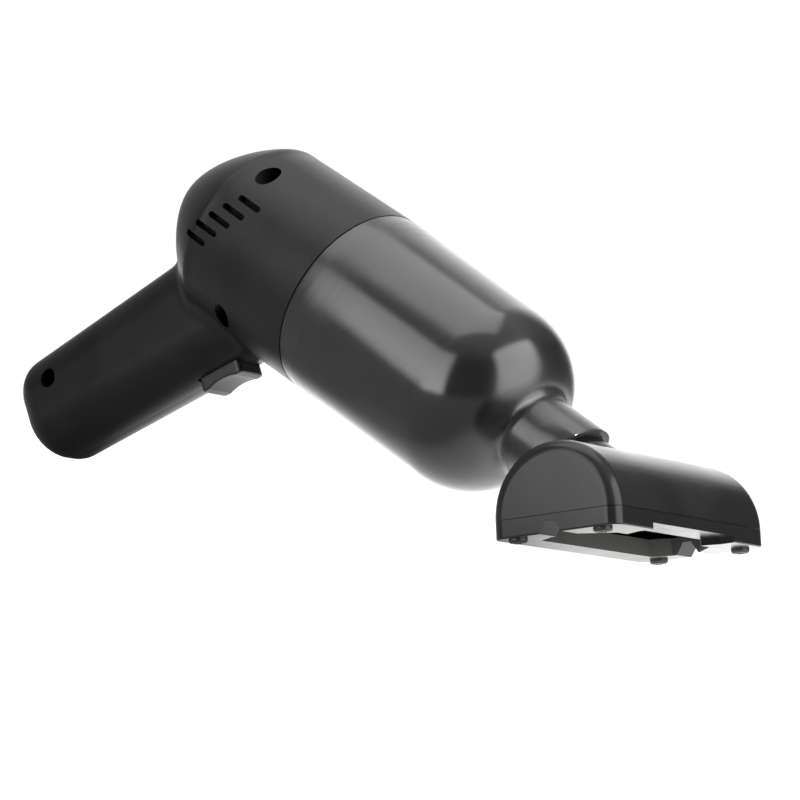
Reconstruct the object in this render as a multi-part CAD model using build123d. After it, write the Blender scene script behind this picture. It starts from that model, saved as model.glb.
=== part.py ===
from build123d import *

import os
from math import asin, atan2, cos, degrees, hypot, pi, radians, sin, sqrt, tan

# Handheld vacuum cleaner, in millimetres. Everything is modelled about the barrel's axis: +X runs forwards
# to the nozzle, +Z is up, +Y is the left side and x = 0 is the seam between housing and dust cup. At the
# end it is all turned into the pose in which the cleaner stands on its nozzle and the end of its grip.

# Barrel and dome of the housing
barrel_radius = 39.0
barrel_length = 58.0
barrel_droop = 1.26
dome_length = 40.0
dome_shoulder = 1.18
dome_fullness = 1.51
wall = 2.5
seam_gap = 0.3
half_gap = 0.1
fit_gap = 0.3
front_lip_length = 1.9
front_lip_depth = 0.7

# Grip
grip_root_x = -34.2
grip_angle = 56.3
grip_length = 141.5
grip_half_depth = 21.8
grip_taper = 0.0413
grip_half_width = 20.0
grip_corner = 18.0
grip_end_round = 11.6
grip_blend = 9.0
grip_top = 8.0

# Vent slots
vent_count = 5
vent_length = 12.4
vent_width = 2.4
vent_pitch = 5.7
vent_top_z = 15.8
vent_first_x = -41.8
vent_stagger = 3.5

# Housing screws, down deep holes in the right half
upper_screw_x = -47.0
upper_screw_inset = 11.8
lower_screw_x = -35.0
lower_screw_inset = 10.2
grip_screw_from_end = 21.0
grip_screw_forward = -6.5
access_radius = 4.0
access_wall = 1.4
web_depth = 6.0
boss_radius = 4.2
housing_screw_radius = 1.4
housing_screw_head = 3.0
housing_screw_head_height = 2.0
housing_screw_length = 16.0
screw_hole_spare = 2.0
screw_clearance = 0.3
thread_clearance = 0.02

# Coupling collar and its seal
collar_rear = -9.7
collar_front = 13.0
collar_wall = 2.7
collar_gap = 0.2
flange_groove = 0.6
flange_width = 3.0
seal_x = 6.5
seal_wire = 0.9
seal_sink = 1.0
seal_groove_gap = 0.1
seal_float = 0.05

# Dust cup
cup_draft = 1.87 / 100
cup_wall = 2.2
cup_straight = 70.0
shoulder_length = 28.8
shoulder_drop = 25.0
shoulder_ease = 0.4
neck_radius = 16.2
neck_reach = 47.8
neck_cut_angle = 25.0
neck_blend = 5.0
neck_edge = 0.6
cup_edge = 0.5

# Filter
filter_seal_thickness = 1.0
filter_flange = 2.0
filter_rim_gap = 1.1
filter_skirt_length = 8.0
filter_skirt_wall = 2.0
filter_length = 44.0
filter_radius = 27.0
pleat_count = 36
pleat_depth = 4.6
pleat_thickness = 1.0
cage_radius = 20.4
cage_wall = 1.5
cage_windows = 6
cage_rim = 3.0
window_width = 8.0
filter_cap_thickness = 2.5
filter_cap_overhang = 1.2
filter_cap_round = 1.2

# Fan and motor
shroud_front = -10.0
shroud_skin = 2.0
mount_front = -23.0
mount_thickness = 3.0
inlet_radius = 12.0
guard_radius = 7.0
guard_bar = 1.5
guard_spokes = 3
impeller_radius = 29.0
impeller_gap = 2.0
impeller_plate = 1.2
impeller_height = 7.6
impeller_eye_inset = 0.5
hub_radius = 5.5
hub_inset = 0.8
blade_count = 9
blade_thickness = 1.2
blade_bow = (15.0, 5.5)
blade_inset = 0.7
blade_lift = 0.5
motor_radius = 18.0
motor_length = 42.0
motor_skin = 1.5
motor_front_plate = 2.0
motor_nose_radius = 6.5
motor_nose_length = 4.0
motor_round = 1.2
end_cap_length = 5.0
end_cap_plug = 3.0
end_cap_plug_gap = 0.05
end_cap_round = 1.5
shaft_radius = 1.585
shaft_front = -12.3
shaft_clearance = 0.03
shaft_inset = 1.0
bush_radius = 4.0
bush_gap = 0.01
bush_inset = 0.5
rotor_radius = 12.6
rotor_length = 24.0
rotor_shift = 1.0
rotor_slots = 7
rotor_slot_width = 1.4
rotor_slot_depth = 4.0
winding_inset = 4.2
winding_overhang = 3.0
commutator_radius = 4.6
commutator_gap = 0.6
magnet_thickness = 3.0
magnet_gap = 0.02
magnet_end_gap = 6.0
motor_screw_circle = 12.5
motor_screw_radius = 1.45
motor_screw_head = 2.7
motor_screw_head_height = 1.4
motor_screw_pocket = 3.0
motor_screw_sink = 1.6
motor_screw_spare = 0.2
mount_gap = 0.1
nut_width = 5.5
nut_thickness = 1.7
air_slot_count = 12
air_slot_length = 9.0
air_slot_width = 4.4
air_slot_inset = 3.4
terminal_length = 4.5
terminal_width = 4.0
terminal_thickness = 0.8
terminal_side = 11.0
cradle_gap = 0.1
cradle_inset = 4.0
cradle_thickness = 2.4
cradle_width = 11.0
cradle_rib = 5.0

# Battery, board and sockets in the grip
cell_radius = 9.1
cell_round = 0.8
cell_gap = 0.4
battery_gap = 5.0
battery_board_gap = 3.3
strip_thickness = 0.3
strip_half_length = 13.0
strip_half_width = 3.0
holder_thickness = 1.9
board_end_gap = 2.0
board_length = 20.0
board_half_width = 14.2
board_thickness = 1.6
board_forward = -0.3
rail_thickness = 1.4
rail_gap = 0.1
rail_reach = 1.5
rail_start_inset = 1.0
rail_end_inset = 3.0
part_inset = 1.5
chip_size = (4.0, 5.5, 1.4)
chip_side = -8.75
driver_size = (3.0, 3.5, 1.2)
driver_along = 5.5
coil_size = (6.0, 6.0, 3.4)
coil_side = 7.5
capacitor_radius = 2.2
capacitor_height = 5.5
capacitor_along = 3.0
capacitor_side = 2.72
socket_size = 9.0
socket_length = 11.0
socket_radius = 4.0
socket_hole_gap = 0.2
socket_bore = 2.8
socket_pin = 0.9
socket_floor = 2.0
socket_wall_gap = 0.1
socket_sink = 0.2
light_radius = 1.5
light_side = 8.0
light_gap = 0.1
light_depth = 4.0
light_collar = 0.8
foam_thickness = 2.0
foam_length = 28.0
foam_margin = 4.0
wire_radius = 0.9
wire_gap = 0.4
wire_side = 12.6
wire_bend = 2.5
wire_lead = 4.0
wire_low = 19.0
wire_low_side = 10.0
wire_turn_rise = 14.0
wire_turn_back = 6.0
wire_turn_side = 9.0
wire_above = 6.0

# Trigger
trigger_along = 47.0
trigger_half_length = 10.5
trigger_half_width = 7.5
trigger_proud = 4.5
trigger_depth = 6.0
trigger_gap = 0.35
trigger_flange_lip = 1.9
trigger_travel = 3.2
trigger_round = 2.0
trigger_top_round = 0.8
finger_radius = 22.0
finger_hollow = 1.2
switch_size = (12.8, 5.8, 6.5)
switch_shift = -5.0
switch_button = 1.2
switch_button_size = (2.4, 1.8)
switch_button_shift = -2.0
switch_leg = (1.0, 0.6, 3.2)
switch_leg_pitch = 4.6
switch_gap = 0.3
switch_pin = 0.9
switch_pin_gap = 0.05
switch_pin_side = 3.25
switch_pin_depth = 3.9
switch_post = 1.9
spring_shift = 6.2
spring_radius = 2.4
spring_wire = 0.55
spring_turns = 6
spring_length = 10.0
spring_slack = 0.1
seat_size = 6.4
seat_thickness = 2.0
seat_peg = 2.0

# Nozzle
nozzle_pitch = 38.2
nozzle_reach = 37.1
nozzle_z = -6.2
nozzle_radius = 26.0
nozzle_length = 104.4
nozzle_wall = 2.2
nozzle_round = 5.0
sole_height = 6.7
sole_edge = 0.6
split_gap = 0.2
spigot_radius = 13.3
spigot_bore = 10.8
spigot_depth = 20.3
spigot_length = 46.0
neck_clearance = 0.35
ring_setback = 13.8
ring_wire = 0.75
ring_clearance = 0.1
ring_bore_gap = 0.15
nozzle_screw_side_wall = 8.57
nozzle_screw_end_wall = 4.5
nozzle_boss = 3.3
nozzle_screw_radius = 1.35
nozzle_screw_head = 3.4
nozzle_screw_head_height = 1.6
nozzle_screw_bite = 8.0
nozzle_hole_spare = 4.0
mouth_front_wall = 12.5
mouth_rear_wall = 11.2
mouth_end_wall = 10.7
mouth_front_corner = (9.7, 9.5)
mouth_rear_corner = (7.0, 4.5)
recess_end_wall = 23.9
recess_corner = (6.5, 3.3)
recess_height = 2.3
notch_centre = -1.3
notch_width = 9.2
notch_top = 3.2
notch_height = 4.5
tongue_height = 2.0
tongue_thickness = 1.2
tongue_gap = 0.4

# Cutters run this far past what they cut, and pieces that are joined share this much
overrun = 1.0
merge = 0.5
tolerance = 0.01

# Worked out from the sizes above
neck_end = cup_straight + neck_reach
nozzle_x = neck_end + nozzle_reach
spigot_start = neck_end - spigot_depth
ring_x = neck_end - ring_setback
motor_front = mount_front - mount_thickness
motor_rear = motor_front - motor_length
impeller_back = mount_front + impeller_gap
impeller_front = impeller_back + impeller_height
hub_front = impeller_front - hub_inset
collar_radius = barrel_radius - wall - front_lip_depth - collar_gap
collar_bore = collar_radius - collar_wall
filter_seat = collar_front + filter_seal_thickness
filter_start = filter_seat + filter_flange
filter_end = filter_start + filter_length
neck_bore = spigot_radius + neck_clearance
board_start = grip_length - wall - board_end_gap - board_length
cell_start = trigger_along + trigger_half_length + battery_gap
cell_end = board_start - battery_board_gap - holder_thickness - strip_thickness
grip_screw_along = grip_length - grip_screw_from_end
board_face = board_forward + board_thickness
board_middle = board_forward + board_thickness / 2
socket_end = grip_length - wall - socket_wall_gap
mouth_front = nozzle_radius - mouth_front_wall
mouth_rear = mouth_rear_wall - nozzle_radius
mouth_half_length = nozzle_length / 2 - mouth_end_wall
recess_half_width = nozzle_length / 2 - recess_end_wall
nozzle_screw_x = nozzle_radius - nozzle_screw_side_wall
nozzle_screw_y = nozzle_length / 2 - nozzle_screw_end_wall
pitch_a = radians(grip_angle)
nozzle_tilt = radians(nozzle_pitch)
grip_plane = Plane(origin=(grip_root_x, 0, 0), x_dir=(sin(pitch_a), 0, -cos(pitch_a)),
                   z_dir=(-cos(pitch_a), 0, -sin(pitch_a)))
nozzle_plane = Plane(origin=(nozzle_x, 0, nozzle_z), x_dir=(cos(nozzle_tilt), 0, sin(nozzle_tilt)),
                     z_dir=(-sin(nozzle_tilt), 0, cos(nozzle_tilt)))
FROM_BASE = (Align.CENTER, Align.CENTER, Align.MIN)


def bar(x_start, x_end, radius, end_radius=None):
    """Round bar or cone on the barrel's axis."""
    place = Plane.YZ.offset(x_start)
    if end_radius is None:
        return place * Cylinder(radius, x_end - x_start, align=FROM_BASE)
    return place * Cone(radius, end_radius, x_end - x_start, align=FROM_BASE)


def tube(x_start, x_end, radius, bore):
    """Straight tube on the barrel's axis."""
    return bar(x_start, x_end, radius) - bar(x_start - overrun, x_end + overrun, bore)


def round_peg(x, z, y_start, y_end, radius):
    """Round peg that runs across the housing, between two values of y."""
    place = Plane(origin=(x, y_start, z), x_dir=(1, 0, 0), z_dir=(0, 1, 0))
    return place * Cylinder(radius, y_end - y_start, align=FROM_BASE)


def grip_box(along, forward, side):
    """Box in the grip from three (low, high) pairs: along it, towards its front, and to the right."""
    size = (forward[1] - forward[0], side[1] - side[0], along[1] - along[0])
    middle = (sum(forward) / 2, sum(side) / 2, along[0])
    return grip_plane * Pos(*middle) * Box(*size, align=FROM_BASE)


def grip_point(along, forward, side=0.0):
    """Point in the grip, in the barrel's frame."""
    return grip_plane.from_local_coords(Vector(forward, side, along))


def grip_depth_at(along):
    """Half depth of the grip, which grows towards the barrel."""
    return grip_half_depth + grip_taper * (grip_length - along)


def barrel_form(front_radius, rear_radius, front, rear):
    """Barrel and rear dome as one turned form about its own axis."""
    slope = (front_radius - rear_radius) / (front + barrel_length)
    points = []
    for share in (0.27, 0.52, 0.73, 0.87, 0.96):
        x = front - share * (front + barrel_length)
        points.append((x, front_radius + slope * (x - front)))
    for share in (0, 0.05, 0.11, 0.2, 0.34, 0.52, 0.72, 0.88, 0.965):
        radius = rear_radius * (1 - share ** dome_shoulder) ** (1 / dome_fullness)
        points.append((-barrel_length + share * (rear + barrel_length), radius))
    side = Spline((front, front_radius), *points, (rear, 0), tangents=[(-1, -slope), (0, -1)])
    lines = [Line((front, 0), (front, front_radius)), side, Line((rear, 0), (front, 0))]
    return revolve(Plane.XZ * make_face(lines), Axis.X)


def inside_radius(x):
    """Radius of the housing's inside at a place along it."""
    return barrel_radius - wall + sin(radians(barrel_droop)) * x


def barrel_inside(inset, front):
    """Space inside barrel and dome, in line with the motor, pulled in by inset past the wall."""
    rear = -barrel_length - dome_length + wall + inset
    return barrel_form(inside_radius(front) - inset, inside_radius(-barrel_length) - inset, front, rear)


def grip_form(inset):
    """Grip, pulled in by inset all round, with its rounded end."""
    sections = []
    for along in (grip_top, grip_length - inset):
        depth = 2 * (grip_depth_at(along) - inset)
        width = 2 * (grip_half_width - inset)
        outline = RectangleRounded(depth, width, grip_corner - inset)
        sections.append(grip_plane * Pos(0, 0, along) * outline)
    grip = loft(sections, ruled=True)
    end_face = grip.faces().sort_by(Axis(grip_plane.origin, grip_plane.z_dir))[-1]
    return fillet(end_face.edges(), grip_end_round - inset)


def housing_outside():
    """Outer form of the whole housing, with the grip blended into the barrel."""
    turned_form = barrel_form(barrel_radius, barrel_radius, 2 * overrun, -barrel_length - dome_length)
    front_cut = Box(barrel_length, 4 * barrel_radius, 4 * barrel_radius,
                    align=(Align.MIN, Align.CENTER, Align.CENTER))
    barrel = Rot(0, -barrel_droop, 0) * turned_form - front_cut
    grip = grip_form(0)
    joined = barrel + grip
    junction = new_edges(barrel, grip, combined=joined)
    return fillet(junction, grip_blend)


def housing_inside(inset):
    """Space inside the housing, open at the front."""
    return barrel_inside(inset - wall, overrun) + grip_form(inset)


def trigger_place(offset=0.0):
    """Plane on the grip's front face at the trigger: x down the grip, y to the left, z outwards."""
    out = (grip_plane.x_dir + grip_plane.z_dir * grip_taper).normalized()
    down = (grip_plane.z_dir - grip_plane.x_dir * grip_taper).normalized()
    origin = grip_point(trigger_along, grip_depth_at(trigger_along)) + out * offset
    return Plane(origin=origin, x_dir=down, z_dir=out)


def screw_places():
    """The (x, z) of each housing screw."""
    grip_screw = grip_point(grip_screw_along, grip_screw_forward)
    upper = (upper_screw_x, barrel_radius - upper_screw_inset)
    lower = (lower_screw_x, lower_screw_inset - barrel_radius)
    return [upper, lower, (grip_screw.X, grip_screw.Z)]


def pan_screw(head_radius, head_height, radius, length):
    """Pan-head cross screw: head above z = 0, shank below."""
    crown = 0.6 * head_height
    slot_floor = 0.35 * head_height
    slot_length = 1.1 * head_radius
    slot_width = 0.28 * head_radius
    head = Cylinder(head_radius, head_height, align=FROM_BASE)
    head = fillet(head.edges().sort_by(Axis.Z)[-1], crown)
    shank = Pos(0, 0, -length) * Cylinder(radius, length + slot_floor / 2, align=FROM_BASE)
    slot = Pos(0, 0, slot_floor) * Box(slot_length, slot_width, head_height, align=FROM_BASE)
    return head + shank - slot - Rot(0, 0, 90) * slot


def vent_slots(side):
    """Cutters of the vent slots through one side wall: side is -1 for the right, 1 for the left."""
    cutters = []
    start = 0.6 * barrel_radius
    for row in range(vent_count):
        place = Plane(origin=(vent_first_x - row * vent_stagger, 0, vent_top_z - row * vent_pitch),
                      x_dir=(1, 0, 0), z_dir=(0, side, 0))
        slot = extrude(SlotOverall(vent_length, vent_width), barrel_radius)
        cutters.append(place * Pos(0, 0, start) * slot)
    return cutters


def cradle_pads(inside):
    """Pads on the housing's wall that hold the motor near both ends, and a rib over the grip's mouth."""
    start = motor_radius + cradle_gap
    front = motor_front - cradle_inset
    rear = motor_rear + cradle_inset
    pads = Pos(rear, 0, -start) * Box(cradle_thickness, 2 * barrel_radius, cradle_rib,
                                      align=(Align.CENTER, Align.CENTER, Align.MAX))
    for x, turns in ((front, (0, 90, 180, 270)), (rear, (0, 90, 270))):
        for turn in turns:
            pad = Pos(x, 0, start) * Box(cradle_thickness, cradle_width, barrel_radius - start,
                                         align=FROM_BASE)
            pads += Rot(turn, 0, 0) * pad
    return pads & inside


def board_rails(inside):
    """Rails that hold the circuit board's two long edges."""
    rails = []
    low = board_forward - rail_gap
    high = board_face + rail_gap
    length = (board_start + rail_start_inset, board_start + board_length - rail_end_inset)
    for side in (-1, 1):
        for forward in ((low - rail_thickness, low), (high, high + rail_thickness)):
            edge = sorted((side * (board_half_width - rail_reach), side * grip_half_width))
            rails.append(grip_box(length, forward, edge) & inside)
    return rails


def switch_top_depth():
    """Depth of the micro switch's top below the grip's front face."""
    return trigger_depth + trigger_travel + switch_gap + switch_button


def switch_pin_place(shift):
    """Plane on the middle of one of the micro switch's two pins, z to the left."""
    depth = switch_top_depth() + switch_pin_depth
    centre = trigger_place(-depth).from_local_coords(Vector(switch_shift + shift, 0, 0))
    return Plane(origin=centre, x_dir=(1, 0, 0), z_dir=(0, 1, 0))


def switch_posts():
    """Two posts on the left wall that carry the micro switch on pins."""
    posts = []
    start = switch_size[1] / 2
    for shift in (-switch_pin_side, switch_pin_side):
        place = switch_pin_place(shift)
        posts.append(place * Pos(0, 0, start) * Cylinder(switch_post, grip_half_width - wall - start,
                                                         align=FROM_BASE))
        posts.append(place * Pos(0, 0, -start) * Cylinder(switch_pin, 2 * start + overrun, align=FROM_BASE))
    return posts


def spring_seat():
    """Arm on the left wall that the trigger's spring pushes against, with a peg for the spring."""
    seat = trigger_place(-trigger_depth - spring_length - 2 * spring_slack) * Pos(spring_shift, 0, 0)
    reach = seat_size / 2 + grip_half_width - wall / 2
    arm = Pos(0, -seat_size / 2, 0) * Box(seat_size, reach, seat_thickness,
                                          align=(Align.CENTER, Align.MIN, Align.MAX))
    peg = Cylinder(spring_radius - spring_wire - fit_gap, seat_peg, align=FROM_BASE)
    return [seat * arm, seat * peg]


def housing_halves():
    """The two clamshell halves of the housing."""
    outside = housing_outside()
    inside = housing_inside(wall)
    shell = outside - inside
    lip_bore = collar_radius + collar_gap
    lip = tube(-front_lip_length, 0, barrel_radius - wall + merge, lip_bore)
    shell += lip
    shell -= tube(-front_lip_length - flange_width - 2 * collar_gap, -front_lip_length,
                  barrel_radius - wall + flange_groove, collar_bore)
    shell += cradle_pads(inside)
    for rail in board_rails(inside):
        shell += rail

    trigger_slot = trigger_place() * Box(2 * (trigger_half_length + trigger_gap),
                                         2 * (trigger_half_width + trigger_gap), 4 * wall)
    shell -= trigger_slot
    socket_place = grip_plane * Pos(board_face + socket_size / 2, 0, 0)
    end = grip_length - 2 * wall
    shell -= socket_place * Pos(0, 0, end) * Cylinder(socket_radius + socket_hole_gap, 4 * wall,
                                                     align=FROM_BASE)
    shell -= socket_place * Pos(0, -light_side, end) * Cylinder(light_radius + light_gap, 4 * wall,
                                                                align=FROM_BASE)

    reach = 2 * barrel_radius
    right_space = Pos(0, -half_gap, 0) * Box(8 * reach, reach, 8 * reach,
                                            align=(Align.CENTER, Align.MAX, Align.CENTER))
    left_space = Pos(0, half_gap, 0) * Box(8 * reach, reach, 8 * reach,
                                          align=(Align.CENTER, Align.MIN, Align.CENTER))
    right = shell & right_space
    left = shell & left_space
    for x, z in screw_places():
        tower = round_peg(x, z, -barrel_radius, 0, access_radius + access_wall)
        right += tower & outside
    for x, z in screw_places():
        well = -web_depth
        right -= round_peg(x, z, -barrel_radius - overrun, well, access_radius)
        right -= round_peg(x, z, well - overrun, overrun, housing_screw_radius + screw_clearance)
        left += round_peg(x, z, 0, barrel_radius, boss_radius) & outside
        left -= round_peg(x, z, -overrun, housing_screw_length - web_depth + screw_hole_spare,
                          housing_screw_radius + thread_clearance)
    for piece in switch_posts() + spring_seat():
        left += piece
    for cutter in vent_slots(-1):
        right -= cutter
    for cutter in vent_slots(1):
        left -= cutter
    return right, left


def housing_screws():
    """The self-tapping screws down the three deep holes."""
    screws = []
    for x, z in screw_places():
        place = Plane(origin=(x, -web_depth, z), x_dir=(1, 0, 0), z_dir=(0, -1, 0))
        screw = pan_screw(housing_screw_head, housing_screw_head_height, housing_screw_radius,
                          housing_screw_length)
        screws.append(place * screw)
    return Compound(children=screws)


def exhaust_foam():
    """Two foam sheets on the inside of the vents."""
    sheet = barrel_inside(fit_gap, 0) - barrel_inside(fit_gap + foam_thickness, overrun)
    low_z = vent_top_z - (vent_count - 1) * vent_pitch - foam_margin
    size = (foam_length, 2 * barrel_radius, vent_top_z + foam_margin - low_z)
    place = Pos(vent_first_x - (vent_count - 1) * vent_stagger / 2, 0, low_z)
    patch = sheet & place * Box(*size, align=FROM_BASE)
    return Compound(children=list(patch.solids()))


def front_collar():
    """Coupling ring that the cup slides over, trapped behind the housing's front lip."""
    front = -front_lip_length - collar_gap
    flange = tube(front - flange_width, front, barrel_radius - wall + flange_groove - collar_gap, collar_bore)
    sleeve = tube(collar_rear, collar_front, collar_radius, collar_bore)
    groove_half = seal_wire + seal_groove_gap
    groove = tube(seal_x - groove_half, seal_x + groove_half, collar_radius + overrun,
                  collar_radius - seal_sink)
    return flange + sleeve - groove


def collar_seal():
    """Rubber ring in the collar's groove."""
    middle = collar_radius - seal_sink + seal_wire + seal_float
    return Plane.YZ.offset(seal_x) * Torus(middle, seal_wire)


def cup_form(inset):
    """Body of the cup up to the face of its shoulder, pulled in by inset."""
    rim = barrel_radius - inset
    end_radius = rim - cup_draft * cup_straight
    length = shoulder_length - inset
    drop = shoulder_drop - inset * shoulder_ease
    start = seam_gap if inset == 0 else seam_gap - overrun
    lines = [Line((start, 0), (start, rim)), Line((start, rim), (cup_straight, end_radius))]
    shoulder = EllipticalCenterArc((cup_straight, end_radius - drop), length, drop, 0, arc_size=90)
    tip = (cup_straight + length, end_radius - drop)
    lines += [shoulder, Line(tip, (tip[0], 0)), Line((tip[0], 0), (start, 0))]
    return revolve(Plane.XZ * make_face(lines), Axis.X)


def dust_cup():
    """See-through cup with its neck, whose mouth is cut at a slant."""
    body = cup_form(0)
    neck = bar(cup_straight, neck_end + neck_radius, neck_radius)
    joined = body + neck
    junction = new_edges(body, neck, combined=joined)
    joined = fillet(junction, neck_blend)
    slant = Plane(origin=(neck_end, 0, 0), x_dir=(0, 1, 0),
                  z_dir=(1, 0, -tan(radians(neck_cut_angle))))
    joined -= slant * Box(4 * neck_radius, 4 * neck_radius, 4 * neck_radius, align=FROM_BASE)
    joined -= cup_form(cup_wall)
    joined -= bar(cup_straight, neck_end + 2 * neck_radius, neck_bore)
    mouth = joined.faces().sort_by(Axis(Vector(0, 0, 0), slant.z_dir))[-1]
    joined = chamfer(mouth.edges(), neck_edge)
    rim = joined.faces().sort_by(Axis.X)[0]
    return fillet(rim.outer_wire().edges(), cup_edge)


def filter_frame():
    """Flange, skirt and inner cage of the filter."""
    cup_inside = barrel_radius - cup_wall - cup_draft * filter_start
    flange = tube(filter_seat, filter_start, cup_inside - filter_rim_gap, cage_radius - cage_wall)
    skirt_radius = collar_bore - fit_gap
    skirt = tube(filter_seat - filter_skirt_length, filter_seat, skirt_radius,
                 skirt_radius - filter_skirt_wall)
    cage = tube(filter_seat, filter_end, cage_radius, cage_radius - cage_wall)
    for window in range(cage_windows):
        opening = Pos(filter_start + cage_rim, 0, 0) * Box(
            filter_length - 2 * cage_rim, window_width, cage_radius + overrun,
            align=(Align.MIN, Align.CENTER, Align.MIN))
        cage -= Rot(window * 360 / cage_windows, 0, 0) * opening
    return flange + skirt + cage


def star(outer, inner):
    """Star outline of the pleats between two radii."""
    points = []
    for step in range(2 * pleat_count):
        radius = outer if step % 2 == 0 else inner
        turn = pi * step / pleat_count
        points.append((radius * cos(turn), radius * sin(turn)))
    return make_face(Polyline(*points, close=True))


def filter_pleats():
    """Pleated paper between flange and cap."""
    band = star(filter_radius, filter_radius - pleat_depth)
    band -= star(filter_radius - 2 * pleat_thickness, filter_radius - pleat_depth - pleat_thickness)
    return Plane.YZ.offset(filter_start) * extrude(band, filter_length)


def filter_cap():
    """Closed cap at the front of the filter."""
    cap = bar(filter_end, filter_end + filter_cap_thickness, filter_radius + filter_cap_overhang)
    return fillet(cap.edges().sort_by(Axis.X)[-1], filter_cap_round)


def filter_seal():
    """Flat rubber ring between the filter's flange and the collar."""
    return tube(collar_front, filter_seat, collar_radius - fit_gap, collar_bore + fit_gap)


def fan_shroud():
    """Cover round the fan with its inlet guard."""
    outer = inside_radius(mount_front) - fit_gap
    plate = tube(shroud_front - shroud_skin, shroud_front, outer, inlet_radius)
    rim = tube(mount_front, shroud_front, outer, outer - shroud_skin)
    guard = tube(shroud_front - shroud_skin, shroud_front, guard_radius, guard_radius - guard_bar)
    for spoke in range(guard_spokes):
        arm = Pos(shroud_front - shroud_skin, 0, guard_radius - merge) * Box(
            shroud_skin, guard_bar, inlet_radius - guard_radius + 2 * merge,
            align=(Align.MIN, Align.CENTER, Align.MIN))
        guard += Rot((spoke + 0.5) * 360 / guard_spokes, 0, 0) * arm
    return plate + rim + guard


def motor_mount():
    """Disc that carries the motor, with a ring of air slots."""
    rear = motor_front
    outer = inside_radius(motor_front) - fit_gap
    disc = tube(rear, mount_front, outer, motor_nose_radius + mount_gap)
    slot_middle = outer - shroud_skin - air_slot_inset
    for step in range(air_slot_count):
        slot = Pos(rear - overrun, 0, slot_middle) * Box(
            mount_thickness + 2 * overrun, air_slot_length, air_slot_width,
            align=(Align.MIN, Align.CENTER, Align.CENTER))
        disc -= Rot((step + 0.5) * 360 / air_slot_count, 0, 0) * slot
    for side in (-1, 1):
        z = side * motor_screw_circle
        disc -= round_along(z, rear - overrun, mount_front + overrun, motor_screw_radius + mount_gap)
        disc -= round_along(z, mount_front - motor_screw_sink, mount_front + overrun, motor_screw_pocket)
    return disc


def round_along(z, x_start, x_end, radius):
    """Round peg along X, above or below the axis."""
    return Pos(0, 0, z) * bar(x_start, x_end, radius)


def motor_screws():
    """Two machine screws that hold the motor to its mount."""
    screws = []
    for side in (-1, 1):
        place = Plane(origin=(mount_front - motor_screw_sink, 0, side * motor_screw_circle),
                      x_dir=(0, 1, 0), z_dir=(1, 0, 0))
        length = mount_thickness + motor_front_plate - motor_screw_sink - motor_screw_spare
        screws.append(place * pan_screw(motor_screw_head, motor_screw_head_height, motor_screw_radius,
                                        length))
    return Compound(children=screws)


def motor_can():
    """Steel can of the motor with its nose."""
    can = bar(motor_rear, motor_front, motor_radius)
    can = fillet(can.edges().sort_by(Axis.X)[-1], motor_round)
    can += bar(motor_front - overrun, motor_front + motor_nose_length, motor_nose_radius)
    can -= bar(motor_rear - overrun, motor_front - motor_front_plate, motor_radius - motor_skin)
    plate_rear = motor_front - motor_front_plate - overrun
    can -= bar(plate_rear, motor_front + motor_nose_length + overrun, bush_radius)
    for side in (-1, 1):
        can -= round_along(side * motor_screw_circle, plate_rear, motor_front + overrun,
                           motor_screw_radius + thread_clearance)
    return can


def motor_end_cap():
    """Plastic end of the motor that holds the rear bush."""
    cap = bar(motor_rear - end_cap_length, motor_rear, motor_radius)
    cap = fillet(cap.edges().sort_by(Axis.X)[0], end_cap_round)
    plug_radius = motor_radius - motor_skin - end_cap_plug_gap
    cap += bar(motor_rear - overrun, motor_rear + end_cap_plug, plug_radius)
    cap -= bar(motor_rear - end_cap_length - overrun, motor_rear + end_cap_plug + overrun, bush_radius)
    return cap


def motor_terminals():
    """Two tabs at the back of the motor."""
    tabs = []
    for side in (-1, 1):
        tab = Pos(motor_rear - end_cap_length - terminal_length, side * terminal_side, 0) * Box(
            terminal_length, terminal_thickness, terminal_width,
            align=(Align.MIN, Align.CENTER, Align.CENTER))
        tabs.append(tab)
    return Compound(children=tabs)


def motor_bushes():
    """Front and rear bearing bushes of the motor shaft."""
    front_end = motor_front + motor_nose_length
    outer = bush_radius - bush_gap
    bore = shaft_radius + shaft_clearance
    front = tube(motor_front - motor_front_plate, front_end, outer, bore)
    rear = tube(motor_rear - end_cap_length + bush_inset, motor_rear + end_cap_plug, outer, bore)
    return Compound(children=[front, rear])


def motor_magnets():
    """Two magnet shells inside the can."""
    outer = motor_radius - motor_skin - magnet_gap
    ring = tube(motor_rear + magnet_end_gap, motor_front - magnet_end_gap, outer, outer - magnet_thickness)
    shells = []
    for side in (-1, 1):
        wedge = Pos(motor_front, side * motor_radius / 2, 0) * Box(
            2 * motor_length, motor_radius, 1.5 * motor_radius)
        shells.append((ring & wedge).solid())
    return Compound(children=shells)


def motor_rotor():
    """Wound rotor with its commutator."""
    middle = (motor_front + motor_rear) / 2 + rotor_shift
    start = middle - rotor_length / 2
    end = middle + rotor_length / 2
    core = tube(start, end, rotor_radius, shaft_radius)
    for slot in range(rotor_slots):
        groove = Pos(start - overrun, 0, rotor_radius - rotor_slot_depth) * Box(
            rotor_length + 2 * overrun, rotor_slot_width, rotor_slot_depth + overrun,
            align=(Align.MIN, Align.CENTER, Align.MIN))
        core -= Rot(slot * 360 / rotor_slots, 0, 0) * groove
    windings = tube(start - winding_overhang, end + winding_overhang, rotor_radius - winding_inset,
                    shaft_radius)
    commutator = tube(motor_rear + end_cap_plug + commutator_gap, start - winding_overhang + merge,
                      commutator_radius, shaft_radius)
    return core + windings + commutator


def motor_shaft():
    """Steel shaft through motor and fan."""
    return bar(motor_rear - end_cap_length + shaft_inset, shaft_front, shaft_radius)


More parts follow.
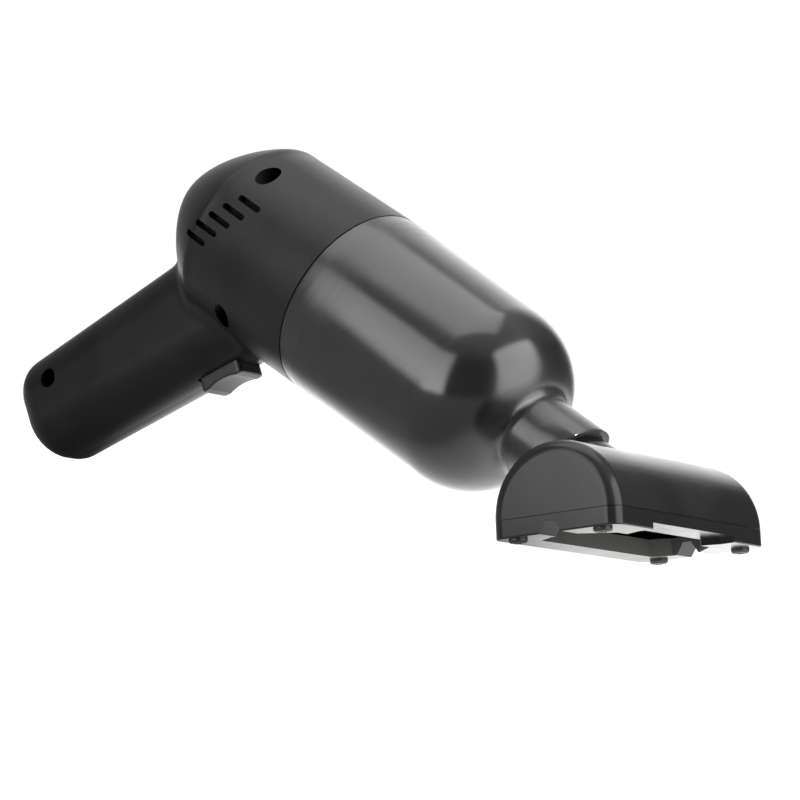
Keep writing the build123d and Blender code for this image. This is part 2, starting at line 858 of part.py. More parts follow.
def impeller():
    """Closed fan wheel with backward-curved blades."""
    plate = bar(impeller_back, impeller_back + impeller_plate, impeller_radius)
    cover = tube(impeller_front - impeller_plate, impeller_front, impeller_radius,
                 inlet_radius - impeller_eye_inset)
    hub = bar(impeller_back, hub_front, hub_radius)
    wheel = plate + cover + hub
    root = hub_radius - merge
    tip = impeller_radius - blade_inset
    bow_radius, bow_rise = blade_bow
    inner = ThreePointArc((root, 0), (bow_radius, bow_rise), (tip, blade_lift))
    outer = ThreePointArc((root, blade_thickness), (bow_radius, bow_rise + blade_thickness),
                          (tip, blade_lift + blade_thickness))
    ends = [Line(inner @ 0, outer @ 0), Line(inner @ 1, outer @ 1)]
    blade = extrude(make_face([inner, outer] + ends), impeller_height - impeller_plate)
    foot = Plane.YZ.offset(impeller_back + impeller_plate / 2)
    for step in range(blade_count):
        wheel += foot * Rot(0, 0, step * 360 / blade_count) * blade
    return wheel - bar(impeller_back - overrun, impeller_front + overrun, shaft_radius)


def fan_nut():
    """Hexagon nut that holds the fan on its shaft."""
    hexagon = RegularPolygon(nut_width / sqrt(3), 6)
    body = Plane.YZ.offset(hub_front) * extrude(hexagon, nut_thickness)
    return body - bar(hub_front - overrun, hub_front + nut_thickness + overrun, shaft_radius)


def battery_cell(side):
    """One round cell: side is -1 for the rear one, 1 for the front one."""
    forward = side * (cell_radius + cell_gap / 2)
    cell = Cylinder(cell_radius, cell_end - cell_start, align=FROM_BASE)
    cell = fillet(cell.edges().filter_by(GeomType.CIRCLE), cell_round)
    return grip_plane * Pos(forward, 0, cell_start) * cell


def battery_strips():
    """Nickel strips that join the cells at both ends."""
    strips = []
    for along in (cell_start - strip_thickness, cell_end):
        strips.append(grip_box((along, along + strip_thickness), (-strip_half_length, strip_half_length),
                               (-strip_half_width, strip_half_width)))
    return Compound(children=strips)


def battery_holder(along):
    """End plate of the battery that fits the grip's inside."""
    inset = wall + fit_gap
    sections = []
    for level in (along, along + holder_thickness):
        depth = 2 * (grip_depth_at(level) - inset)
        width = 2 * (grip_half_width - inset)
        sections.append(grip_plane * Pos(0, 0, level) * RectangleRounded(depth, width, grip_corner - inset))
    plate = loft(sections, ruled=True)
    for side in (-1, 1):
        hole = grip_plane * Pos(board_middle, side * wire_side, along - overrun) * Cylinder(
            wire_radius + wire_gap, holder_thickness + 2 * overrun, align=FROM_BASE)
        plate -= hole
    return plate


def circuit_board():
    """Charge and switch board at the end of the grip."""
    return grip_box((board_start, board_start + board_length), (board_forward, board_face),
                    (-board_half_width, board_half_width))


def on_board(along, side, size):
    """Box on the board's face: along from the first part's edge, side from the board's middle."""
    length, width, height = size
    start = board_start + part_inset + along
    return grip_box((start, start + length), (board_face, board_face + height),
                    (side - width / 2, side + width / 2))


def board_parts():
    """Chip, driver, coil and two capacitors on the board."""
    parts = [on_board(0, chip_side, chip_size), on_board(driver_along, chip_side, driver_size),
             on_board(0, coil_side, coil_size)]
    along = board_start + part_inset + capacitor_along
    for side in (-capacitor_side, capacitor_side):
        can = grip_plane * Pos(board_face, side, along) * Rot(0, 90, 0) * Cylinder(
            capacitor_radius, capacitor_height, align=FROM_BASE)
        parts.append(can)
    return Compound(children=parts)


def charge_socket():
    """Charging inlet on the board, open at the end of the grip."""
    rear = socket_end - socket_length
    body = grip_box((rear, socket_end), (board_face, board_face + socket_size),
                    (-socket_size / 2, socket_size / 2))
    middle = grip_plane * Pos(board_face + socket_size / 2, 0, 0)
    nose = grip_length - socket_sink - socket_end + overrun
    body += middle * Pos(0, 0, socket_end - overrun) * Cylinder(socket_radius, nose, align=FROM_BASE)
    floor = rear + socket_floor
    body -= middle * Pos(0, 0, floor) * Cylinder(socket_bore, socket_length + wall, align=FROM_BASE)
    body += middle * Pos(0, 0, floor - overrun) * Cylinder(socket_pin, socket_length, align=FROM_BASE)
    return body


def charge_light():
    """Light pipe beside the charging inlet."""
    middle = grip_plane * Pos(board_face + socket_size / 2, -light_side, 0)
    start = grip_length - wall - light_depth
    pipe = middle * Pos(0, 0, start) * Cylinder(light_radius, wall + light_depth - light_gap, align=FROM_BASE)
    collar = middle * Pos(0, 0, start) * Cylinder(light_radius + light_collar, light_depth - 2 * light_gap,
                                                  align=FROM_BASE)
    return pipe + collar


def micro_switch():
    """Small push switch behind the trigger, on the posts' pins."""
    length, thickness, height = switch_size
    place = trigger_place(-switch_top_depth())
    body = place * Pos(switch_shift, 0, 0) * Box(length, thickness, height,
                                                align=(Align.CENTER, Align.CENTER, Align.MAX))
    button = place * Pos(switch_shift + switch_button_shift, 0, -merge) * Box(
        *switch_button_size, switch_button + merge, align=FROM_BASE)
    switch = body + button
    for leg in (-1, 0, 1):
        switch += place * Pos(switch_shift + leg * switch_leg_pitch, 0, -height) * Box(
            *switch_leg, align=(Align.CENTER, Align.CENTER, Align.MAX))
    for shift in (-switch_pin_side, switch_pin_side):
        switch -= switch_pin_place(shift) * Cylinder(switch_pin + switch_pin_gap, 3 * thickness)
    return switch


def power_trigger():
    """Trigger with its finger hollow and the flange that keeps it in."""
    place = trigger_place()
    size = (2 * trigger_half_length, 2 * trigger_half_width)
    body = Pos(0, 0, -trigger_depth) * Box(*size, trigger_depth + trigger_proud, align=FROM_BASE)
    body = fillet(body.edges().filter_by(Axis.Z), trigger_round)
    hollow_z = trigger_proud + finger_radius - finger_hollow
    body -= Pos(0, 0, hollow_z) * Rot(90, 0, 0) * Cylinder(finger_radius, 3 * trigger_half_width)
    top = [edge for edge in body.edges() if edge.center().Z > trigger_proud / 2]
    body = fillet(top, trigger_top_round)
    lips = 2 * trigger_flange_lip
    flange = Pos(0, 0, -trigger_depth) * Box(size[0] + lips, size[1] + lips, trigger_depth - wall,
                                             align=FROM_BASE)
    peg = Pos(spring_shift, 0, -trigger_depth) * Cylinder(
        spring_radius - spring_wire - fit_gap, seat_peg, align=(Align.CENTER, Align.CENTER, Align.MAX))
    kept_in = place * flange & grip_form(wall + fit_gap)
    return place * body + kept_in + place * peg


def trigger_spring():
    """Coil spring between the trigger and its seat."""
    middle = spring_radius - spring_wire / 2
    height = spring_length - spring_wire
    path = Helix(height / spring_turns, height, middle)
    section = Plane(origin=path @ 0, z_dir=path % 0) * Circle(spring_wire / 2)
    coil = sweep(section, path=path, is_frenet=True)
    seat = trigger_place(-trigger_depth - spring_length - 2 * spring_slack)
    return seat * Pos(spring_shift, 0, spring_wire / 2 + spring_slack) * coil


def motor_wire(side):
    """Lead from the motor down past the cells to the board: side is -1 for the right, 1 for the left."""
    start = Vector(motor_rear - end_cap_length - terminal_length, side * terminal_side, 0)
    first = start - Vector(wire_lead, 0, 0)
    behind_motor = Vector(motor_rear - end_cap_length - 2 * wire_radius, side * wire_low_side, -wire_low)
    turn_in = grip_point(cell_start - wire_turn_rise, -wire_turn_back, -side * wire_turn_side)
    above = grip_point(cell_start - wire_above, board_middle, -side * wire_side)
    end = grip_point(board_start, board_middle, -side * wire_side)
    path = FilletPolyline(start, first, behind_motor, turn_in, above, end, radius=wire_bend)
    section = Plane(origin=path @ 0, z_dir=path % 0) * Circle(wire_radius)
    return sweep(section, path=path)


def nozzle_form(inset, top_only):
    """D-shaped bar of the nozzle along Y, in the nozzle's own frame, pulled in by inset."""
    radius = nozzle_radius - inset
    floor = 0 if top_only else -sole_height
    if top_only:
        arc = ThreePointArc((-radius, 0), (0, radius), (radius, 0))
        outline = make_face([arc, Line((-radius, 0), (radius, 0))])
    else:
        arc = ThreePointArc((-radius, 0), (0, radius), (radius, 0))
        outline = make_face([arc, Line((radius, 0), (radius, floor)), Line((radius, floor), (-radius, floor)),
                             Line((-radius, floor), (-radius, 0))])
    length = nozzle_length - 2 * inset
    return Plane.XZ.offset(-length / 2) * extrude(outline, length)


def nozzle_outside():
    """Outer form of the nozzle with its rounded ends, in its own frame."""
    form = nozzle_form(0, False)
    ends = []
    for edge in form.edges():
        middle = edge.center()
        at_end = abs(abs(middle.Y) - nozzle_length / 2) < tolerance
        on_sole = abs(middle.Z + sole_height) < tolerance
        if at_end and not on_sole:
            ends.append(edge)
    form = fillet(ends, nozzle_round)
    sole = form.faces().sort_by(Axis.Z)[0]
    return fillet(sole.edges(), sole_edge)


def nozzle_corners():
    """The (x, y) of the four nozzle screws."""
    corners = []
    for x in (-nozzle_screw_x, nozzle_screw_x):
        for y in (-nozzle_screw_y, nozzle_screw_y):
            corners.append((x, y))
    return corners


def nozzle_body():
    """Upper half of the nozzle with the spigot that enters the cup's neck."""
    below = Box(2 * nozzle_length, 2 * nozzle_length, nozzle_length,
                align=(Align.CENTER, Align.CENTER, Align.MAX))
    upper = nozzle_outside() - below
    cavity = nozzle_form(nozzle_wall, True)
    spigot_front = spigot_start + spigot_length
    shell = nozzle_plane * upper + bar(spigot_start, spigot_front, spigot_radius)
    shell -= nozzle_plane * cavity
    shell -= nozzle_plane * below
    for x, y in nozzle_corners():
        boss = Pos(x, y, 0) * Cylinder(nozzle_boss, nozzle_radius, align=FROM_BASE) & upper
        shell += nozzle_plane * boss
    for x, y in nozzle_corners():
        depth = nozzle_screw_bite + nozzle_hole_spare
        shell -= nozzle_plane * Pos(x, y, -overrun) * Cylinder(nozzle_screw_radius + thread_clearance,
                                                              depth + overrun, align=FROM_BASE)
    shell -= bar(spigot_start - overrun, spigot_front + spigot_radius / 2, spigot_bore)
    groove = ring_wire + ring_clearance
    floor = ring_centre_radius() - groove
    shell -= tube(ring_x - groove, ring_x + groove, spigot_radius + overrun, floor)
    return shell


def ring_centre_radius():
    """Radius of the spigot ring's wire centre."""
    return neck_bore - ring_bore_gap - ring_wire


def spigot_ring():
    """Ring on the spigot that seals it in the neck."""
    return Plane.YZ.offset(ring_x) * Torus(ring_centre_radius(), ring_wire)


def nozzle_base():
    """Sole frame of the nozzle: mouth, end notches, front recess and screw holes."""
    plate = nozzle_outside() & Pos(0, 0, -split_gap) * Box(
        2 * nozzle_length, 2 * nozzle_length, sole_height, align=(Align.CENTER, Align.CENTER, Align.MAX))
    half = mouth_half_length
    front_run, front_cut = mouth_front_corner
    rear_run, rear_cut = mouth_rear_corner
    side = [(mouth_rear, half - rear_cut), (mouth_rear + rear_run, half), (mouth_front - front_run, half),
            (mouth_front, half - front_cut)]
    other = [(x, -y) for x, y in reversed(side)]
    mouth = make_face(Polyline(*side, *other, close=True))
    plate -= Pos(0, 0, -2 * sole_height) * extrude(mouth, 3 * sole_height)
    wide = recess_half_width
    recess_run, recess_cut = recess_corner
    side = [(mouth_front - overrun, wide - recess_cut), (mouth_front + recess_run, wide),
            (nozzle_radius + overrun, wide)]
    other = [(x, -y) for x, y in reversed(side)]
    recess = make_face(Polyline(*side, *other, close=True))
    plate -= Pos(0, 0, -sole_height - overrun) * extrude(recess, recess_height + overrun)
    slope = (notch_width - notch_top) / 2 / notch_height
    low = notch_width / 2 + slope * overrun
    high = notch_top / 2
    top_z = -sole_height + notch_height
    bottom_z = -sole_height - overrun
    notch = make_face(Polyline((notch_centre - low, bottom_z), (notch_centre - high, top_z),
                               (notch_centre + high, top_z), (notch_centre + low, bottom_z), close=True))
    plate -= Plane.XZ.offset(-nozzle_length) * extrude(notch, 2 * nozzle_length)
    tongue_x = nozzle_radius - nozzle_wall - tongue_gap - tongue_thickness / 2
    for x in (-tongue_x, tongue_x):
        plate += Pos(x, 0, -overrun) * Box(tongue_thickness, 2 * half, tongue_height + overrun,
                                           align=FROM_BASE)
    for x, y in nozzle_corners():
        plate -= Pos(x, y, -2 * sole_height) * Cylinder(nozzle_screw_radius + screw_clearance,
                                                       3 * sole_height, align=FROM_BASE)
    return nozzle_plane * plate


def nozzle_screws():
    """Four pan-head screws under the sole."""
    screws = []
    for x, y in nozzle_corners():
        screw = pan_screw(nozzle_screw_head, nozzle_screw_head_height, nozzle_screw_radius,
                          sole_height + nozzle_screw_bite)
        screws.append(nozzle_plane * Pos(x, y, -sole_height) * Rot(180, 0, 0) * screw)
    return Compound(children=screws)


def standing_pitch():
    """Angle in degrees by which the nose goes down when the cleaner stands on sole edge and grip end."""
    across = grip_half_depth + grip_taper * grip_end_round - grip_end_round * sqrt(1 + grip_taper ** 2)
    rear = grip_point(grip_length - grip_end_round, across)
    edge = nozzle_plane.from_local_coords(Vector(-nozzle_radius + sole_edge, 0, -sole_height + sole_edge))
    run = edge.X - rear.X
    rise = edge.Z - rear.Z
    lean = asin((grip_end_round - sole_edge) / hypot(run, rise))
    return degrees(atan2(rise, run) + lean)


def build():
    """All nodes by name, in the barrel's frame."""
    right, left = housing_halves()
    nodes = {
        "housing_right": right,
        "housing_left": left,
        "housing_screws": housing_screws(),
        "front_collar": front_collar(),
        "collar_seal": collar_seal(),
        "dust_cup": dust_cup(),
        "filter_frame": filter_frame(),
        "filter_pleats": filter_pleats(),
        "filter_cap": filter_cap(),
        "filter_seal": filter_seal(),
        "fan_shroud": fan_shroud(),
        "motor_mount": motor_mount(),
        "motor_screws": motor_screws(),
        "motor_can": motor_can(),
        "motor_end_cap": motor_end_cap(),
        "motor_terminals": motor_terminals(),
        "motor_bushes": motor_bushes(),
        "motor_magnets": motor_magnets(),
        "motor_rotor": motor_rotor(),
        "motor_shaft": motor_shaft(),
        "impeller": impeller(),
        "fan_nut": fan_nut(),
        "exhaust_foam": exhaust_foam(),
        "battery_cell_1": battery_cell(-1),
        "battery_cell_2": battery_cell(1),
        "battery_strips": battery_strips(),
        "battery_holder_top": battery_holder(cell_start - strip_thickness - holder_thickness),
        "battery_holder_bottom": battery_holder(cell_end + strip_thickness),
        "circuit_board": circuit_board(),
        "board_parts": board_parts(),
        "charge_socket": charge_socket(),
        "charge_light": charge_light(),
        "micro_switch": micro_switch(),
        "power_trigger": power_trigger(),
        "trigger_spring": trigger_spring(),
        "wire_red": motor_wire(-1),
        "wire_black": motor_wire(1),
        "nozzle_body": nozzle_body(),
        "nozzle_base": nozzle_base(),
        "nozzle_screws": nozzle_screws(),
        "spigot_ring": spigot_ring(),
    }
    return nodes


def main():
    """Build, stand the cleaner up with its origin under its middle, and write each node."""
    os.makedirs("parts", exist_ok=True)
    turn = Rot(0, standing_pitch(), 0)
    nodes = {name: turn * shape for name, shape in build().items()}
    boxes = [nodes[name].bounding_box() for name in ("housing_right", "nozzle_base", "nozzle_body")]
    low_x = min(box.min.X for box in boxes)
    high_x = max(box.max.X for box in boxes)
    low_z = min(box.min.Z for box in boxes)
    shift = Pos(-(low_x + high_x) / 2, 0, -low_z)
    print("standing pitch", round(standing_pitch(), 3), "shift", shift.position)
    for name, shape in nodes.items():
        export_step(shift * shape, f"parts/{name}.step")


main()
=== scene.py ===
from math import cos, pi, radians, sin, sqrt, tan

import bmesh
import bpy
from bpy.props import FloatProperty, FloatVectorProperty, IntProperty, PointerProperty
from mathutils import Matrix, Vector


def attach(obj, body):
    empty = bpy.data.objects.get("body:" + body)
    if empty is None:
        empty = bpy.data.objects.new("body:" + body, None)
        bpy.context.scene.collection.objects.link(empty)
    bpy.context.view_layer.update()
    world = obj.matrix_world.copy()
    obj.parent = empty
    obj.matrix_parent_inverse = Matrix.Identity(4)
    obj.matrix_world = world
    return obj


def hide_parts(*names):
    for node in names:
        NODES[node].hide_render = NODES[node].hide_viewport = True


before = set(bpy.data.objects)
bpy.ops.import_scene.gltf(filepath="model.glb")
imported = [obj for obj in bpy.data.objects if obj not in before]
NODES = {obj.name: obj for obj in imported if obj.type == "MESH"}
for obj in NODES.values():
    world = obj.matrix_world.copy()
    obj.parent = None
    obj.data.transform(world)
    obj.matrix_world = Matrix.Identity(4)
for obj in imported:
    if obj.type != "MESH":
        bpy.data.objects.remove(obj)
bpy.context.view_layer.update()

bl_info = {
    "name": "Handheld vacuum cleaner",
    "version": (1, 0, 0),
    "blender": (4, 5, 0),
    "location": "View3D > Sidebar > Cleaner",
    "description": "Dresses the packed handheld vacuum cleaner and sets up its studio",
    "category": "Object",
}

# The barrel's own frame, in millimetres, as in the part's source: +X forwards, x = 0 at the seam.
# It is turned by the standing pitch and shifted to stand in the row's frame.
STANDING_PITCH = 22.794
STANDING_SHIFT = (-4.88808, 0.0, 78.955)
MILLIMETRE = 0.001
# Rotation that turns Object coordinates so that their X runs along the barrel
ALONG_BARREL = (0, radians(-STANDING_PITCH), 0)


def barrel_frame():
    """Matrix from millimetres in the barrel's frame to metres in the row's frame."""
    turned = Matrix.Rotation(radians(STANDING_PITCH), 4, "Y")
    return Matrix.Scale(MILLIMETRE, 4) @ Matrix.Translation(STANDING_SHIFT) @ turned


class HousingLook(bpy.types.PropertyGroup):
    """Matte black moulding of housing and trigger."""
    colour: FloatVectorProperty(name="Housing colour", description="Colour of the housing's plastic",
                                subtype="COLOR", size=3, min=0, max=1, default=(0.0025, 0.0025, 0.0026))
    roughness: FloatProperty(name="Housing roughness", description="How matte the housing is",
                             subtype="FACTOR", min=0, max=1, default=0.37)
    grain: FloatProperty(name="Mould grain", description="Depth of the fine moulded grain",
                         subtype="FACTOR", min=0, max=1, default=0.12)


class CupLook(bpy.types.PropertyGroup):
    """Smoky see-through dust cup."""
    tint: FloatVectorProperty(name="Smoke tint", description="Colour of the light that comes through the cup",
                              subtype="COLOR", size=3, min=0, max=1, default=(0.1, 0.1, 0.102))
    roughness: FloatProperty(name="Cup roughness", description="Roughness of the cup's surface",
                             subtype="FACTOR", min=0, max=1, default=0.17)
    around: IntProperty(name="Steps around", description="Steps around the cup", min=24, max=256, default=192)


class NozzleLook(bpy.types.PropertyGroup):
    """Satin black nozzle."""
    colour: FloatVectorProperty(name="Nozzle colour", description="Colour of the nozzle's plastic",
                                subtype="COLOR", size=3, min=0, max=1, default=(0.008, 0.008, 0.0083))
    roughness: FloatProperty(name="Nozzle roughness", description="Roughness of the nozzle's plastic",
                             subtype="FACTOR", min=0, max=1, default=0.22)


class StudioLook(bpy.types.PropertyGroup):
    """Floor, lights and camera."""
    floor: FloatVectorProperty(name="Floor colour", description="Colour of the pale floor",
                               subtype="COLOR", size=3, min=0, max=1, default=(0.35, 0.35, 0.35))
    surround: FloatProperty(name="Surround", description="Brightness of the room around the object",
                            min=0, max=5, default=0.75)
    softbox: FloatProperty(name="Softbox brightness", description="Brightness of each softbox's face",
                           min=0, max=50, default=4.6)
    lens: FloatProperty(name="Lens", description="Focal length on a sensor 36 mm wide", unit="CAMERA",
                        min=10, max=400, default=134.05)


# The Mix node's sockets go by number, since their names repeat: two values, two colours and the mixed colour
FIRST_VALUE, SECOND_VALUE = 2, 3
FIRST_COLOUR, SECOND_COLOUR, MIXED_COLOUR = 6, 7, 2


class Nodes:
    """A shader node tree that is being filled."""

    def __init__(self, tree):
        self.tree = tree

    def feed(self, target, inputs):
        """Fills a node's inputs, named or numbered, from sockets to link or with plain values."""
        for key, value in inputs.items():
            if isinstance(value, bpy.types.NodeSocket):
                self.tree.links.new(value, target.inputs[key])
            else:
                target.inputs[key].default_value = value

    def node(self, kind, inputs=None, **settings):
        """New node with its settings and inputs; gives its outputs."""
        made = self.tree.nodes.new(kind)
        for key, value in settings.items():
            setattr(made, key, value)
        self.feed(made, inputs or {})
        return made.outputs

    def maths(self, operation, *terms):
        """One step of arithmetic with sockets and plain numbers."""
        return self.node("ShaderNodeMath", dict(enumerate(terms)), operation=operation)[0]

    def ranged(self, value, start, end, low=0.0, high=1.0, curve="LINEAR"):
        """Turns a value between start and end into one between low and high, and goes no further."""
        limits = {"From Min": start, "From Max": end, "To Min": low, "To Max": high}
        return self.node("ShaderNodeMapRange", {"Value": value, **limits}, interpolation_type=curve)["Result"]

    def between(self, share, first, second):
        """Mixes two values, each a socket or a plain number, by a share."""
        values = {FIRST_VALUE: first, SECOND_VALUE: second}
        return self.node("ShaderNodeMix", {0: share, **values}, data_type="FLOAT")[0]

    def camera_share(self):
        """One where the camera looks straight at a surface, and zero in reflections and light."""
        return self.node("ShaderNodeLightPath")["Is Camera Ray"]


def effect_group(name, numbers, results, fill):
    """Shader node group, made on its first use: fill takes its inputs and gives what feeds its results."""
    if name in bpy.data.node_groups:
        return bpy.data.node_groups[name]
    tree = bpy.data.node_groups.new(name, "ShaderNodeTree")
    tree.interface.new_socket("Vector", in_out="INPUT", socket_type="NodeSocketVector")
    for label, default in numbers.items():
        socket = tree.interface.new_socket(label, in_out="INPUT", socket_type="NodeSocketFloat")
        socket.default_value = default
    for label in results:
        tree.interface.new_socket(label, in_out="OUTPUT", socket_type="NodeSocketFloat")
    given = tree.nodes.new("NodeGroupInput").outputs
    nodes = Nodes(tree)
    nodes.feed(tree.nodes.new("NodeGroupOutput"), fill(nodes, given))
    return tree


# Usual frequencies of the grain and of the patches of handling
GRAIN_SIZE = 2600.0
PATCH_SIZE = 28.0
# Weight of the grain's pits beside its noise, and the noise's values between which the patches fade in
PIT_SHARE = 0.6
PATCH_EDGES = (0.35, 0.65)


def mould_grain():
    """Group: fine spark-eroded grain of moulded plastic, and slow patches of handling over it."""
    def fill(nodes, given):
        place = given["Vector"]
        size = given["Grain size"]
        fine = nodes.node("ShaderNodeTexNoise", {"Vector": place, "Scale": size, "Detail": 3})
        pits = nodes.node("ShaderNodeTexVoronoi", {"Vector": place, "Scale": size}, feature="SMOOTH_F1")
        slow = nodes.node("ShaderNodeTexNoise", {
            "Vector": place,
            "Scale": given["Patch size"],
            "Detail": 4,
            "Distortion": 0.4})
        return {"Height": nodes.maths("MULTIPLY_ADD", pits["Distance"], PIT_SHARE, fine["Fac"]),
                "Patches": nodes.ranged(slow["Fac"], *PATCH_EDGES)}

    sizes = {"Grain size": GRAIN_SIZE, "Patch size": PATCH_SIZE}
    return effect_group("Mould grain", sizes, ("Height", "Patches"), fill)


# Frequency of the lines across them, the share of it that is left along them, and the tarnish's frequency
LINE_DENSITY = 900.0
LINE_STRETCH = (0.05, 1.0, 1.0)
TARNISH_SCALE = 120


def drawn_metal():
    """Group: fine lines of drawn, turned or rolled metal along X, and slow tarnish."""
    def fill(nodes, given):
        place = given["Vector"]
        stretched = nodes.node("ShaderNodeVectorMath", {0: place, 1: LINE_STRETCH}, operation="MULTIPLY")[0]
        density = given["Line density"]
        lines = nodes.node("ShaderNodeTexNoise", {"Vector": stretched, "Scale": density, "Detail": 5})
        tarnish = nodes.node("ShaderNodeTexNoise", {"Vector": place, "Scale": TARNISH_SCALE, "Detail": 3})
        return {"Height": lines["Fac"], "Tarnish": tarnish["Fac"]}

    return effect_group("Drawn metal", {"Line density": LINE_DENSITY}, ("Height", "Tarnish"), fill)


# Depth in metres that a bump of strength 1 stands for on plastic and rubber, and on metal
GRAIN_DEPTH = 0.0001
LINE_DEPTH = 0.00005


class Finish(Nodes):
    """A material under construction, with its Principled BSDF and Object coordinates."""

    def __init__(self, name):
        self.material = bpy.data.materials.new(name)
        self.material.use_nodes = True
        super().__init__(self.material.node_tree)
        self.shader = self.tree.nodes["Principled BSDF"]
        self.place = self.node("ShaderNodeTexCoord")["Object"]

    def turned_place(self, rotation=(0, 0, 0), scale=(1, 1, 1)):
        """Object coordinates through a Mapping node."""
        turn = {"Rotation": rotation, "Scale": scale}
        return self.node("ShaderNodeMapping", {"Vector": self.place, **turn})["Vector"]

    def grained(self, grain_size, patch_size=PATCH_SIZE):
        """The mould grain's group in this material, with its own sizes."""
        sizes = {"Grain size": grain_size, "Patch size": patch_size}
        return self.node("ShaderNodeGroup", {"Vector": self.place, **sizes}, node_tree=mould_grain())

    def two_tones(self, mask, first, second):
        """Mixes two colours by a mask."""
        colours = {FIRST_COLOUR: (*first, 1), SECOND_COLOUR: (*second, 1)}
        mixed = self.node("ShaderNodeMix", {0: mask, **colours}, data_type="RGBA")
        self.feed(self.shader, {"Base Color": mixed[MIXED_COLOUR]})

    def varied(self, mask, low, high):
        """Spreads a mask between two roughnesses."""
        self.feed(self.shader, {"Roughness": self.ranged(mask, 0.0, 1.0, low, high)})

    def bump(self, height, strength, depth=GRAIN_DEPTH):
        """Bump from a height."""
        raised = self.node("ShaderNodeBump", {"Height": height, "Strength": strength, "Distance": depth})
        self.feed(self.shader, {"Normal": raised["Normal"]})


def lighter(colour, share):
    """Colour moved a share of the way to white."""
    return tuple(value + share * (1 - value) for value in colour)


def darker(colour, share):
    """Colour with only a share of it left."""
    return tuple(share * value for value in colour)


def plain_plastic(name, roughness, grain, grain_size, patches, specular):
    """Moulded plastic that still lacks its colour, given with the outputs of its grain."""
    made = Finish(name)
    grained = made.grained(grain_size)
    made.varied(grained["Patches"], roughness - patches, roughness + patches)
    made.bump(grained["Height"], grain)
    made.shader.inputs["Specular IOR Level"].default_value = specular
    return made, grained


# Share of the way to white by which handling lightens plastic
HANDLED = 0.005


def moulded_plastic(name, colour, roughness, grain=0.1, grain_size=GRAIN_SIZE, patches=0.05, specular=0.5):
    """Moulded plastic with its grain and slight patches of handling."""
    made, grained = plain_plastic(name, roughness, grain, grain_size, patches, specular)
    made.two_tones(grained["Patches"], colour, lighter(colour, HANDLED))
    return made.material


# Share of the tarnish in its colour, and how far metal is smoother and rougher than its roughness
TARNISH_SHARE = 0.2
METAL_SPREAD = (0.06, 0.1)


def drawn_steel(name, colour, roughness, tarnish=(0.05, 0.045, 0.04), turn=(0, 0, 0)):
    """Metal with fine lines and a little tarnish."""
    made = Finish(name)
    place = made.turned_place(rotation=turn)
    lined = made.node("ShaderNodeGroup", {"Vector": place}, node_tree=drawn_metal())
    dulled = tuple((1 - TARNISH_SHARE) * a + TARNISH_SHARE * b for a, b in zip(colour, tarnish))
    made.two_tones(lined["Tarnish"], colour, dulled)
    made.varied(lined["Tarnish"], roughness - METAL_SPREAD[0], roughness + METAL_SPREAD[1])
    made.bump(lined["Height"], strength=0.12, depth=LINE_DEPTH)
    made.shader.inputs["Metallic"].default_value = 1.0
    return made.material


def soft_rubber(name, colour):
    """Matte rubber or wire insulation with a slight bloom."""
    made = Finish(name)
    grained = made.grained(grain_size=1500.0, patch_size=60.0)
    made.two_tones(grained["Patches"], colour, lighter(colour, share=0.05))
    made.varied(grained["Patches"], low=0.6, high=0.8)
    made.bump(grained["Height"], strength=0.15)
    return made.material


# What both halves of the nozzle share: relief and size of the grain, spread of the roughness, specular level
NOZZLE_PLASTIC = {"grain": 0.05, "grain_size": 1800.0, "patches": 0.04, "specular": 0.25}
# Middle of the nozzle's mouth in the barrel's frame in millimetres, the nozzle's pitch in that frame, and how
# far the painted light reaches from the middle in metres: just past the walls of the mouth
MOUTH_MIDDLE = (154.39, 0.0, -6.6)
NOZZLE_PITCH = 38.2
PAINTED_LIGHT_REACH = (0.0146, 0.0419)
# Share of that reach from which the painted light fades out, and the colour of the painted light
PAINTED_LIGHT_EDGE = 0.985
MOUTH_PAINTED_LIGHT = (0.07, 0.069, 0.066)


def mouth_plastic(colour, roughness):
    """The nozzle's plastic, with painted light that greys the walls of the mouth."""
    made, _ = plain_plastic("Nozzle sole black", roughness, **NOZZLE_PLASTIC)
    box = made.node("ShaderNodeMapping", {
        "Location": barrel_frame() @ Vector(MOUTH_MIDDLE),
        "Rotation": (0, radians(STANDING_PITCH - NOZZLE_PITCH), 0),
        "Scale": (*PAINTED_LIGHT_REACH, 1),
        "Vector": made.place}, vector_type="TEXTURE")
    away = made.node("ShaderNodeVectorMath", {0: box["Vector"]}, operation="ABSOLUTE")
    axes = made.node("ShaderNodeSeparateXYZ", {"Vector": away["Vector"]})
    furthest = made.maths("MAXIMUM", axes["X"], axes["Y"])
    # Painted light: the walls of the mouth are painted a lighter grey than the rest of the sole
    made.two_tones(made.ranged(furthest, PAINTED_LIGHT_EDGE, 1.0, 1.0, 0.0), colour, MOUTH_PAINTED_LIGHT)
    return made.material


# Along the barrel's axis in metres: where the ringed band beside the seam fades out, and where the satin of
# the neck fades in
SEAM_BAND = (-0.029, -0.004)
NECK_BAND = (0.052, 0.062)
# Roughness that the neck, the band and the band's rings add to the cup's own
NECK_HAZE = 0.1
BAND_HAZE = 0.06
RING_HAZE = 0.04
# Frequency of the rings, height of the grain against that of the rings, and the relief of both
RING_SCALE = 70
CUP_GRAIN = 0.08
CUP_RELIEF = 0.13


